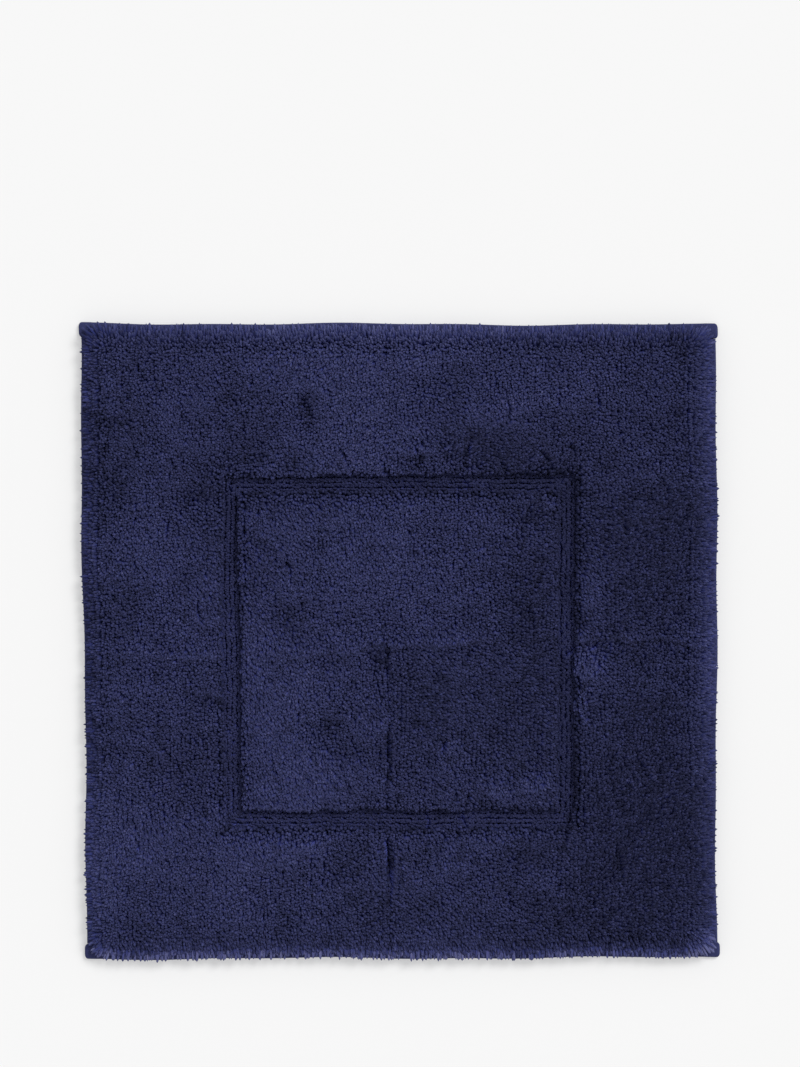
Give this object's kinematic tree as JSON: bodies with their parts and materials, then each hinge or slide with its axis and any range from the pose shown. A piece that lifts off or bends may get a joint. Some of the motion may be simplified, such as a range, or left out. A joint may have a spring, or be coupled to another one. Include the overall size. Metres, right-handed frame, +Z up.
{
  "type": "bath mat",
  "caption": "Square tufted cotton bath mat with a sculpted square groove in its cut pile, a bound edge and an anti-slip backing.",
  "frame": {"origin": "middle of the underside, on the surface that the mat lies on", "axes": "+Z up through the pile, +X to the mat's right, +Y to its far edge; the groove sits 9 mm towards the near edge"},
  "size_m": [0.605, 0.6, 0.019],
  "materials": {
    "pile_yarn": "matt cut-pile cotton yarn, navy",
    "backing_canvas": "plain-woven canvas, dyed with the pile",
    "anti_slip_latex": "matt off-white latex coat",
    "binding_tape": "twill cotton tape, folded double, navy",
    "sewing_thread": "spun polyester thread, navy",
    "label_satin": "blank white satin ribbon"
  },
  "bodies": {
    "root": {"backing_cloth": "backing_canvas", "anti_slip_coat": "anti_slip_latex", "care_label": "label_satin", "centre_pile": "pile_yarn", "border_pile_near": "pile_yarn", "groove_pile_near": "pile_yarn", "binding_near": "binding_tape", "needle_thread_near": "sewing_thread", "bobbin_thread_near": "sewing_thread", "border_pile_right": "pile_yarn", "groove_pile_right": "pile_yarn", "binding_right": "binding_tape", "needle_thread_right": "sewing_thread", "bobbin_thread_right": "sewing_thread", "border_pile_far": "pile_yarn", "groove_pile_far": "pile_yarn", "binding_far": "binding_tape", "needle_thread_far": "sewing_thread", "bobbin_thread_far": "sewing_thread", "border_pile_left": "pile_yarn", "groove_pile_left": "pile_yarn", "binding_left": "binding_tape", "needle_thread_left": "sewing_thread", "bobbin_thread_left": "sewing_thread"}
  },
  "joints": []
}
